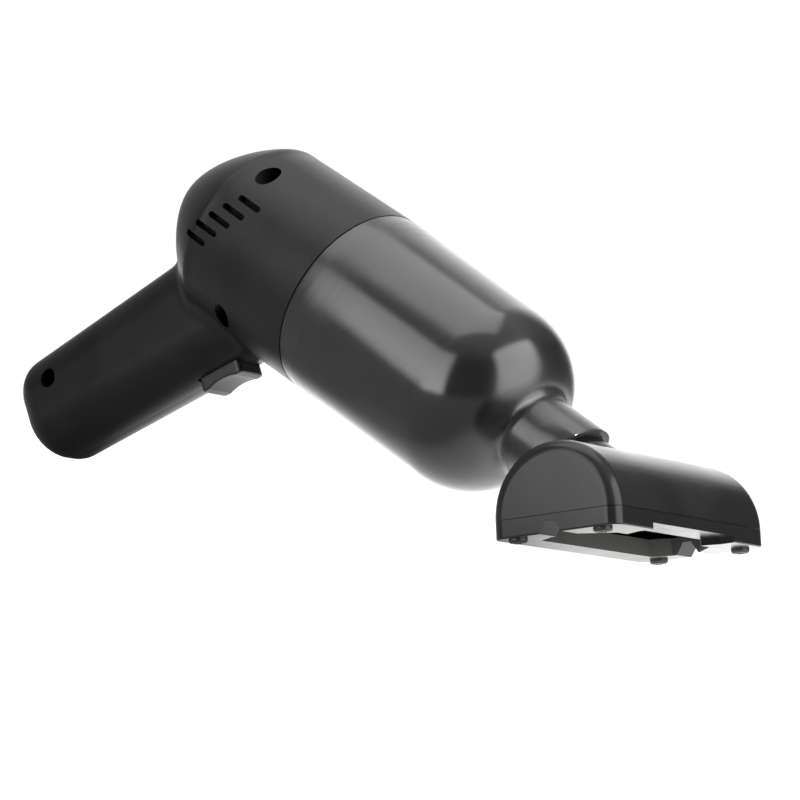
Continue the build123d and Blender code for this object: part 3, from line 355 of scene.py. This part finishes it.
def smoky_cup(tint, roughness):
    """Smoky see-through plastic, hazy and faintly ringed beside the seam, and satin at the neck."""
    made = Finish("Smoky cup")
    grained = made.grained(grain_size=900.0, patch_size=18.0)
    made.two_tones(grained["Patches"], tint, lighter(tint, share=0.02))
    axis = made.turned_place(rotation=ALONG_BARREL)
    along = made.node("ShaderNodeSeparateXYZ", {"Vector": axis})["X"]
    band = made.ranged(along, *SEAM_BAND, 1.0, 0.0, curve="SMOOTHSTEP")
    neck = made.ranged(along, *NECK_BAND, roughness, roughness + NECK_HAZE, curve="SMOOTHSTEP")
    rings = made.node("ShaderNodeTexWave", {"Vector": axis, "Scale": RING_SCALE}, bands_direction="X")["Fac"]
    haze = made.maths("MULTIPLY_ADD", rings, RING_HAZE, BAND_HAZE)
    made.feed(made.shader, {"Roughness": made.maths("MULTIPLY_ADD", band, haze, neck)})
    turned = made.maths("MULTIPLY", rings, band)
    made.bump(made.maths("MULTIPLY_ADD", grained["Height"], CUP_GRAIN, turned), CUP_RELIEF)
    made.shader.inputs["Transmission Weight"].default_value = 1.0
    made.shader.inputs["IOR"].default_value = 1.55
    return made.material


def filter_cloth(name, colour):
    """Fibrous pleated filter cloth."""
    made = Finish(name)
    place = made.turned_place(scale=(0.3, 1, 1))
    fibres = made.node("ShaderNodeTexNoise", {"Vector": place, "Scale": 1800, "Detail": 8})["Fac"]
    made.two_tones(fibres, darker(colour, share=0.75), colour)
    made.varied(fibres, low=0.8, high=0.95)
    made.bump(fibres, strength=0.5, depth=0.0003)
    return made.material


def open_foam(name, colour):
    """Open-cell foam."""
    made = Finish(name)
    cells = made.node("ShaderNodeTexVoronoi", {"Vector": made.place, "Scale": 900})["Distance"]
    made.two_tones(cells, darker(colour, share=0.3), colour)
    made.varied(cells, low=0.85, high=1.0)
    made.bump(cells, strength=0.9, depth=0.0008)
    made.shader.inputs["Specular IOR Level"].default_value = 0.1
    return made.material


def wound_rotor(dark, copper):
    """Copper windings between dark laminations."""
    made = Finish("Wound rotor")
    bands = {"Vector": made.turned_place(rotation=ALONG_BARREL), "Scale": 420, "Distortion": 1.5}
    wave = made.node("ShaderNodeTexWave", bands, bands_direction="X")["Fac"]
    made.two_tones(wave, dark, copper)
    made.varied(wave, low=0.25, high=0.4)
    made.bump(wave, strength=0.4, depth=0.0002)
    made.shader.inputs["Metallic"].default_value = 0.8
    return made.material


def circuit_green():
    """Green solder mask with faint copper tracks under it."""
    made = Finish("Circuit green")
    tracks = made.node("ShaderNodeTexBrick", {
        "Vector": made.place,
        "Scale": 140,
        "Mortar Size": 0.03,
        "Color1": (0.01, 0.08, 0.03, 1),
        "Color2": (0.015, 0.1, 0.035, 1),
        "Mortar": (0.03, 0.2, 0.08, 1)})
    made.feed(made.shader, {"Base Color": tracks["Color"]})
    made.varied(tracks["Fac"], low=0.3, high=0.4)
    made.bump(tracks["Fac"], strength=0.2)
    return made.material


def clear_light_pipe(first, second):
    """Clear plastic of the charge light."""
    made = Finish("Clear light pipe")
    patches = made.grained(grain_size=1200.0)["Patches"]
    made.two_tones(patches, first, second)
    made.varied(patches, low=0.12, high=0.2)
    made.shader.inputs["Transmission Weight"].default_value = 1.0
    return made.material


PLAIN_WHITE = (1, 1, 1, 1)
# The floor's glow grows backwards: direction in the floor's plane, distances in metres on it, and strengths
GLOW_WAY = (0.3, 1, 0)
GLOW_BETWEEN = (-0.03, 0.03)
GLOW_STRENGTHS = (0.08, 1.7)


def pale_floor(colour):
    """Matte pale floor with a glow of its own, which keeps the object's shadow weak."""
    made = Finish("Pale floor")
    patches = made.grained(grain_size=40.0, patch_size=1.5)["Patches"]
    made.two_tones(patches, colour, darker(colour, share=0.995))
    made.varied(patches, low=0.85, high=0.95)
    made.shader.inputs["Specular IOR Level"].default_value = 0.1
    made.shader.inputs["Emission Color"].default_value = PLAIN_WHITE
    depth = made.node("ShaderNodeVectorMath", {0: made.place, 1: GLOW_WAY}, operation="DOT_PRODUCT")
    glow = made.ranged(depth["Value"], *GLOW_BETWEEN, *GLOW_STRENGTHS)
    made.feed(made.shader, {"Emission Strength": made.between(made.camera_share(), glow, 1.0)})
    return made.material


def dress(material, *names):
    """Gives CAD nodes their material."""
    for name in names:
        mesh = NODES[name].data
        mesh.materials.clear()
        mesh.materials.append(material)


def place_form(name, form, material):
    """Turns a bmesh in the row's frame into an object of the scene."""
    mesh = bpy.data.meshes.new(name)
    form.to_mesh(mesh)
    form.free()
    piece = bpy.data.objects.new(name, mesh)
    bpy.context.scene.collection.objects.link(piece)
    mesh.materials.append(material)
    return piece


def spun(profile, steps):
    """Full turn about the barrel's axis of a closed profile of (x, radius) points in millimetres."""
    form = bmesh.new()
    verts = [form.verts.new((x, 0, radius)) for x, radius in profile]
    edges = [form.edges.new(pair) for pair in zip(verts, verts[1:] + verts[:1])]
    bmesh.ops.spin(form, geom=verts + edges, cent=(0, 0, 0), axis=(1, 0, 0), angle=2 * pi, steps=steps,
                   use_merge=True)
    bmesh.ops.recalc_face_normals(form, faces=form.faces)
    for face in form.faces:
        face.smooth = True
    return form


def sharpen(form, angle=35.0):
    """Marks edges sharper than an angle, so that shading breaks there."""
    for edge in form.edges:
        if len(edge.link_faces) == 2 and edge.calc_face_angle(0) > radians(angle):
            edge.smooth = False


# Dust cup, as in the part's source, in millimetres. Its shoulder is a quarter of an ellipse, given by half
# its length and half its height; inside, the wall takes only its share SHOULDER_EASE off the half height.
SEAM = 0.3
RIM_RADIUS = 39.0
RIM_EDGE = 0.5
DRAFT = 1.87 / 100
CUP_WALL = 2.2
STRAIGHT = 70.0
SHOULDER = (28.8, 25.0)
SHOULDER_EASE = 0.4
NECK_RADIUS = 16.2
NECK_BORE = 13.65
NECK_END = 117.8
NECK_SLANT = radians(25.0)
NECK_BLEND = 5.0
MOUTH_EDGE = 0.5
# How much too long the neck is spun before it is cut to its slant, where the row of points in its bore lies,
# and how near to the bore a point of the shoulder is left out
NECK_SPARE = 12
BORE_ROW = 108.0
BORE_GAP = 0.05
# Steps of the profile along the rim's edge, the wall, the shoulder and the blend into the neck
RIM_STEPS = 6
WALL_STEPS = 8
SHOULDER_STEPS = 40
BLEND_STEPS = 16
# Points along the neck's outside, each that share of the way left, and rounds of the search for its blend
NECK_SHARES = (0.3, 0.65, 1.0)
SEARCH_ROUNDS = 40


def shoulder_ellipse(inset):
    """Half length, half height and middle radius of the shoulder's ellipse, moved in from its outside."""
    length = SHOULDER[0] - inset
    drop = SHOULDER[1] - SHOULDER_EASE * inset
    foot = RIM_RADIUS - inset - DRAFT * STRAIGHT - drop
    return length, drop, foot


def shoulder_point(turn, inset):
    """Point and outward normal on the cup's elliptical shoulder: turn runs from the wall to the tip."""
    length, drop, foot = shoulder_ellipse(inset)
    point = Vector((STRAIGHT + length * sin(turn), foot + drop * cos(turn)))
    normal = Vector((sin(turn) / length, cos(turn) / drop)).normalized()
    return point, normal


def blend_turn():
    """Turn on the shoulder's outside where the blend into the neck starts."""
    low, high = 0.0, pi / 2
    for _ in range(SEARCH_ROUNDS):
        middle = (low + high) / 2
        point, normal = shoulder_point(middle, 0)
        if (point + NECK_BLEND * normal).y > NECK_RADIUS + NECK_BLEND:
            low = middle
        else:
            high = middle
    return low


def cup_outside():
    """Outer profile of the cup, from its rim to past the mouth of the neck."""
    points = []
    for step in range(RIM_STEPS, -1, -1):
        turn = radians(90 * step / RIM_STEPS)
        points.append((SEAM + RIM_EDGE * (1 - sin(turn)), RIM_RADIUS - RIM_EDGE * (1 - cos(turn))))
    for step in range(1, WALL_STEPS + 1):
        x = SEAM + RIM_EDGE + step * (STRAIGHT - SEAM - RIM_EDGE) / WALL_STEPS
        points.append((x, RIM_RADIUS - DRAFT * x))
    last = blend_turn()
    for step in range(1, SHOULDER_STEPS + 1):
        point, normal = shoulder_point(last * step / SHOULDER_STEPS, 0)
        points.append(tuple(point))
    centre = point + NECK_BLEND * normal
    start = (point - centre).angle_signed(Vector((0, -1)))
    for step in range(1, BLEND_STEPS + 1):
        arm = (point - centre).copy()
        arm.rotate(Matrix.Rotation(-start * step / BLEND_STEPS, 2))
        points.append(tuple(centre + arm))
    for share in NECK_SHARES:
        points.append((points[-1][0] * (1 - share) + (NECK_END + NECK_SPARE) * share, NECK_RADIUS))
    return points


def cup_inside():
    """Inner profile of the cup, from past the mouth back to its rim."""
    points = [(NECK_END + NECK_SPARE, NECK_BORE), (BORE_ROW, NECK_BORE)]
    length, drop, foot = shoulder_ellipse(CUP_WALL)
    lean = (NECK_BORE - foot) / drop
    points.append((STRAIGHT + length * sqrt(1 - lean * lean), NECK_BORE))
    for step in range(SHOULDER_STEPS, -1, -1):
        point, _ = shoulder_point(pi / 2 * step / SHOULDER_STEPS, CUP_WALL)
        if point.y > NECK_BORE + BORE_GAP:
            points.append(tuple(point))
    for step in range(WALL_STEPS - 1, -1, -1):
        x = SEAM + step * (STRAIGHT - SEAM) / WALL_STEPS
        points.append((x, RIM_RADIUS - CUP_WALL - DRAFT * x))
    return points


class CLEANER_OT_dust_cup(bpy.types.Operator):
    """Smoky see-through cup with its neck, spun finely so that the long highlights run smoothly"""
    bl_idname = "cleaner.dust_cup"
    bl_label = "Dust cup"

    def execute(self, context):
        look = context.scene.cup_look
        form = spun(cup_outside() + cup_inside(), look.around)
        slant = Vector((1, 0, -tan(NECK_SLANT))).normalized()
        cut = bmesh.ops.bisect_plane(form, geom=form.verts[:] + form.edges[:] + form.faces[:], dist=0.0001,
                                     plane_co=(NECK_END, 0, 0), plane_no=slant, clear_outer=True)
        rim = [item for item in cut["geom_cut"] if isinstance(item, bmesh.types.BMEdge)]
        mouth = bmesh.ops.bridge_loops(form, edges=rim)["faces"]
        for face in mouth:
            face.smooth = False
        bmesh.ops.recalc_face_normals(form, faces=form.faces)
        edges = {edge for face in mouth for edge in face.edges
                 if any(other not in mouth for other in edge.link_faces)}
        bmesh.ops.bevel(form, geom=list(edges), offset=MOUTH_EDGE, segments=2, profile=0.5, affect="EDGES",
                        material=-1)
        sharpen(form)
        form.transform(barrel_frame())
        shell = place_form("dust_cup_shell", form, smoky_cup(look.tint, look.roughness))
        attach(shell, "cup")
        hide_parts("dust_cup")
        return {"FINISHED"}


# How much more matte than the housing its trigger is
TRIGGER_MATTE = 0.06


class CLEANER_OT_housing(bpy.types.Operator):
    """Matte black housing halves with their trigger, screws, collar and seals"""
    bl_idname = "cleaner.housing"
    bl_label = "Housing"

    def execute(self, context):
        look = context.scene.housing_look
        shell = moulded_plastic("Housing black", look.colour, look.roughness, grain=look.grain, patches=0.015,
                                specular=0.21)
        collar = moulded_plastic("Collar black", (0.02, 0.02, 0.021), roughness=0.4)
        screw = drawn_steel("Dark screw", (0.05, 0.05, 0.052), roughness=0.38, tarnish=(0.02, 0.02, 0.02))
        trigger = moulded_plastic("Trigger black", look.colour, look.roughness + TRIGGER_MATTE, grain=0.2)
        dress(shell, "housing_right", "housing_left")
        dress(collar, "front_collar")
        dress(screw, "housing_screws", "nozzle_screws")
        dress(soft_rubber("Seal rubber", (0.02, 0.02, 0.02)), "collar_seal", "filter_seal", "spigot_ring")
        dress(trigger, "power_trigger")
        return {"FINISHED"}


class CLEANER_OT_filter(bpy.types.Operator):
    """Pleated filter with its frame and cap"""
    bl_idname = "cleaner.filter"
    bl_label = "Filter"

    def execute(self, context):
        frame_plastic = moulded_plastic("Filter frame", (0.035, 0.035, 0.037), roughness=0.45)
        dress(frame_plastic, "filter_frame", "filter_cap")
        dress(filter_cloth("Filter cloth", (0.42, 0.42, 0.4)), "filter_pleats")
        return {"FINISHED"}


class CLEANER_OT_fan_and_motor(bpy.types.Operator):
    """Fan stage, motor and exhaust foam"""
    bl_idname = "cleaner.fan_and_motor"
    bl_label = "Fan and motor"

    def execute(self, context):
        inner = moulded_plastic("Inner moulding", (0.1, 0.1, 0.105), roughness=0.5)
        fan = moulded_plastic("Fan moulding", (0.22, 0.22, 0.225), roughness=0.35)
        can = drawn_steel("Motor steel", (0.5, 0.5, 0.51), roughness=0.3, turn=ALONG_BARREL)
        bright = drawn_steel("Bright screw", (0.6, 0.6, 0.62), roughness=0.25)
        shaft = drawn_steel("Shaft steel", (0.62, 0.62, 0.64), roughness=0.18, turn=ALONG_BARREL)
        cap = moulded_plastic("Motor cap black", (0.03, 0.03, 0.03), roughness=0.4)
        brass = drawn_steel("Terminal brass", (0.7, 0.52, 0.25), roughness=0.3)
        bronze = drawn_steel("Bearing bronze", (0.55, 0.36, 0.2), roughness=0.45)
        magnet = moulded_plastic("Ferrite magnet", (0.06, 0.06, 0.062), roughness=0.6, grain=0.3,
                                 grain_size=1200.0)
        dress(inner, "fan_shroud", "motor_mount", "battery_holder_top", "battery_holder_bottom")
        dress(fan, "impeller")
        dress(can, "motor_can")
        dress(bright, "motor_screws", "fan_nut", "trigger_spring")
        dress(shaft, "motor_shaft")
        dress(cap, "motor_end_cap")
        dress(brass, "motor_terminals")
        dress(bronze, "motor_bushes")
        dress(magnet, "motor_magnets")
        dress(wound_rotor((0.25, 0.1, 0.05), (0.62, 0.28, 0.14)), "motor_rotor")
        dress(open_foam("Exhaust foam", (0.012, 0.012, 0.012)), "exhaust_foam")
        return {"FINISHED"}


class CLEANER_OT_battery_and_board(bpy.types.Operator):
    """Cells, strips, board, inlet, switch and leads"""
    bl_idname = "cleaner.battery_and_board"
    bl_label = "Battery and board"

    def execute(self, context):
        wrap = moulded_plastic("Cell wrap", (0.03, 0.12, 0.35), roughness=0.25, grain=0.05)
        nickel = drawn_steel("Nickel strip", (0.66, 0.63, 0.58), roughness=0.3)
        component = moulded_plastic("Component black", (0.02, 0.02, 0.02), roughness=0.35)
        inlet = moulded_plastic("Inlet black", (0.012, 0.012, 0.012), roughness=0.3)
        dress(wrap, "battery_cell_1", "battery_cell_2")
        dress(nickel, "battery_strips")
        dress(circuit_green(), "circuit_board")
        dress(component, "board_parts", "micro_switch")
        dress(inlet, "charge_socket")
        dress(clear_light_pipe((0.75, 0.8, 0.85), (0.85, 0.9, 0.95)), "charge_light")
        dress(soft_rubber("Red insulation", (0.45, 0.015, 0.015)), "wire_red")
        dress(soft_rubber("Black insulation", (0.015, 0.015, 0.015)), "wire_black")
        return {"FINISHED"}


class CLEANER_OT_nozzle(bpy.types.Operator):
    """Satin black floor nozzle with its sole"""
    bl_idname = "cleaner.nozzle"
    bl_label = "Nozzle"

    def execute(self, context):
        look = context.scene.nozzle_look
        dress(moulded_plastic("Nozzle black", look.colour, look.roughness, **NOZZLE_PLASTIC), "nozzle_body")
        dress(mouth_plastic(look.colour, look.roughness), "nozzle_base")
        return {"FINISHED"}


# Middle of the stage in metres, which the softboxes at the sides face, and the stage's own directions
CENTRE = Vector((0.06, 0, 0.05))
BACK = Vector((-0.61, 0.79, 0)).normalized()
RIGHT = Vector((0.79, 0.61, 0)).normalized()
UP = Vector((0, 0, 1))
STAGE_TURN = Matrix((RIGHT, BACK, UP)).transposed()
# Width and depth of the floor, and how far it runs in front of the stage's middle, in metres
FLOOR = (8.0, 10.0)
FLOOR_FRONT = 0.25
# The softbox overhead: how far left and above, its size in metres, and its share of the softbox brightness
TOP_LEFT = 0.55
TOP_ABOVE = 1.2
TOP_SIZE = (1.5, 0.86)
TOP_SHARE = 0.48
# The other softboxes look at the middle from this distance in metres: name, azimuth and elevation in degrees,
# size in metres, share of the softbox brightness, what is left of it along one edge, and roll in degrees
SIDE_DISTANCE = 1.3
SIDE_SOFTBOXES = (
    ("softbox_left", -108, 8, (0.8, 1.38), 1.35, 0.45, 0),
    ("softbox_right", 2, 24, (1.3, 1.45), 1.0, 1.0, 8),
)
# The camera in the barrel's frame in millimetres, fitted to the photograph: its place, and the directions to
# the picture's right, up and into the picture
CAMERA_PLACE = (675.331, -912.872, 219.920)
CAMERA_RIGHT = (0.664524, 0.584987, 0.464971)
CAMERA_UP = (-0.496384, -0.119554, 0.859831)
CAMERA_AHEAD = (-0.558580, 0.802182, -0.210932)


def lay_floor(colour):
    """Pale floor under the object, from a little in front of it to far behind."""
    middle = CENTRE + BACK * (FLOOR[1] / 2 - FLOOR_FRONT) - CENTRE.z * UP
    form = bmesh.new()
    bmesh.ops.create_grid(form, x_segments=1, y_segments=1, size=0.5)
    form.transform(Matrix.LocRotScale(middle, STAGE_TURN, (*FLOOR, 1)))
    place_form("floor", form, pale_floor(colour))


def softbox(name, pose, size, brightness, fade=1.0):
    """Rectangular softbox that shines against its own Z, with a face that fades towards one edge."""
    lamp = bpy.data.lights.new(name, "AREA")
    lamp.shape = "RECTANGLE"
    lamp.size, lamp.size_y = size
    # An area lamp's power is pi times the brightness of its face times its area
    lamp.energy = brightness * pi * size[0] * size[1]
    lamp.use_nodes = True
    nodes = Nodes(lamp.node_tree)
    face = nodes.node("ShaderNodeNewGeometry")["Parametric"]
    along = nodes.node("ShaderNodeSeparateXYZ", {"Vector": face})["Y"]
    nodes.feed(nodes.tree.nodes["Emission"], {"Strength": nodes.ranged(along, 0.0, 1.0, 1.0, fade)})
    stand = bpy.data.objects.new(name, lamp)
    bpy.context.scene.collection.objects.link(stand)
    stand.matrix_world = pose
    stand.visible_camera = False


def light_object(brightness):
    """One softbox overhead and one at each side."""
    top = CENTRE - TOP_LEFT * RIGHT + TOP_ABOVE * UP
    softbox("softbox_top", Matrix.Translation(top) @ STAGE_TURN.to_4x4(), TOP_SIZE, TOP_SHARE * brightness)
    for name, azimuth, elevation, size, share, fade, roll in SIDE_SOFTBOXES:
        turn, rise = radians(azimuth), radians(elevation)
        way = Vector((cos(turn) * cos(rise), sin(turn) * cos(rise), sin(rise)))
        place = CENTRE + SIDE_DISTANCE * way
        facing = (place - CENTRE).normalized().to_track_quat("Z", "Y").to_matrix().to_4x4()
        pose = Matrix.Translation(place) @ facing @ Matrix.Rotation(radians(roll), 4, "Z")
        softbox(name, pose, size, share * brightness, fade)


# The room as reflections see it, by the coordinates of a direction. Its front brightens upwards and dims
# backwards; a window behind the object, wide in X, fades in backwards and dims towards the zenith.
FRONT_HEIGHT = (0.5, 0.85)
FRONT_SHARES = (0.4, 1.3)
FRONT_DEPTH = (0.2, 0.6)
FRONT_DIMMED = 0.45
WINDOW_HEIGHT = (0.85, 1.0)
WINDOW_SHARES = (2.5, 1.3)
WINDOW_DEPTH = (0.2, 0.55)
WINDOW_RIGHT = (-0.05, -0.33)
WINDOW_LEFT = (-0.95, -0.5)
# Brightness of the plain white that the camera sees round the object
CAMERA_WHITE = 1.05


def surround_light(brightness):
    """Pale room: plain white to the camera, and in reflections a dim front with a bright window behind."""
    world = bpy.data.worlds.new("Studio room")
    bpy.context.scene.world = world
    world.use_nodes = True
    nodes = Nodes(world.node_tree)
    reflected = nodes.tree.nodes["Background"]
    direction = nodes.node("ShaderNodeTexCoord")["Generated"]
    way = nodes.node("ShaderNodeSeparateXYZ", {"Vector": direction})
    across = nodes.maths("MULTIPLY", nodes.ranged(way["X"], *WINDOW_RIGHT),
                         nodes.ranged(way["X"], *WINDOW_LEFT))
    window = nodes.maths("MULTIPLY", across, nodes.ranged(way["Y"], *WINDOW_DEPTH))
    rising = nodes.ranged(way["Z"], *FRONT_HEIGHT, *(share * brightness for share in FRONT_SHARES))
    front = nodes.maths("MULTIPLY", rising, nodes.ranged(way["Y"], *FRONT_DEPTH, 1.0, FRONT_DIMMED))
    back = nodes.ranged(way["Z"], *WINDOW_HEIGHT, *(share * brightness for share in WINDOW_SHARES))
    nodes.feed(reflected, {"Color": PLAIN_WHITE, "Strength": nodes.between(window, front, back)})
    white = nodes.node("ShaderNodeBackground", {"Color": PLAIN_WHITE, "Strength": CAMERA_WHITE})[0]
    room = {0: nodes.camera_share(), 1: reflected.outputs[0], 2: white}
    nodes.feed(nodes.tree.nodes["World Output"], {"Surface": nodes.node("ShaderNodeMixShader", room)[0]})


def set_camera(lens):
    """Camera at the photograph's viewing angle."""
    view = bpy.data.cameras.new("view")
    view.sensor_width = 36
    view.lens = lens
    view.clip_start = 0.05
    camera = bpy.data.objects.new("view", view)
    bpy.context.scene.collection.objects.link(camera)
    turned = Matrix.Rotation(radians(STANDING_PITCH), 3, "Y")
    ways = (Vector(CAMERA_RIGHT), Vector(CAMERA_UP), -Vector(CAMERA_AHEAD))
    axes = Matrix([turned @ way for way in ways]).transposed()
    camera.matrix_world = Matrix.Translation(barrel_frame() @ Vector(CAMERA_PLACE)) @ axes.to_4x4()
    bpy.context.scene.camera = camera


class CLEANER_OT_stage(bpy.types.Operator):
    """Pale floor, soft studio light and the camera"""
    bl_idname = "cleaner.stage"
    bl_label = "Stage"

    def execute(self, context):
        look = context.scene.studio_look
        context.scene.view_settings.view_transform = "Standard"
        lay_floor(look.floor)
        light_object(look.softbox)
        surround_light(look.surround)
        set_camera(look.lens)
        return {"FINISHED"}


class CLEANER_PT_panel(bpy.types.Panel):
    """Lists the cleaner's pieces and looks"""
    bl_label = "Handheld vacuum cleaner"
    bl_idname = "CLEANER_PT_panel"
    bl_space_type = "VIEW_3D"
    bl_region_type = "UI"
    bl_category = "Cleaner"

    def draw(self, context):
        for group in LOOKS:
            box = self.layout.box()
            look = getattr(context.scene, group)
            for name in look.__annotations__:
                box.prop(look, name)
        for step in STEPS:
            self.layout.operator(step.bl_idname)


LOOKS = {
    "housing_look": HousingLook,
    "cup_look": CupLook,
    "nozzle_look": NozzleLook,
    "studio_look": StudioLook,
}
STEPS = [CLEANER_OT_stage, CLEANER_OT_housing, CLEANER_OT_dust_cup, CLEANER_OT_filter,
         CLEANER_OT_fan_and_motor, CLEANER_OT_battery_and_board, CLEANER_OT_nozzle]


def register():
    for group in LOOKS.values():
        bpy.utils.register_class(group)
    for step in STEPS:
        bpy.utils.register_class(step)
    bpy.utils.register_class(CLEANER_PT_panel)
    for name, group in LOOKS.items():
        setattr(bpy.types.Scene, name, PointerProperty(type=group))


def unregister():
    for name in LOOKS:
        delattr(bpy.types.Scene, name)
    bpy.utils.unregister_class(CLEANER_PT_panel)
    for step in reversed(STEPS):
        bpy.utils.unregister_class(step)
    for group in LOOKS.values():
        bpy.utils.unregister_class(group)


def main():
    """Registers the classes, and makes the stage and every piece."""
    register()
    for step in STEPS:
        family, name = step.bl_idname.split(".")
        getattr(getattr(bpy.ops, family), name)()


if __name__ == "__main__":
    main()
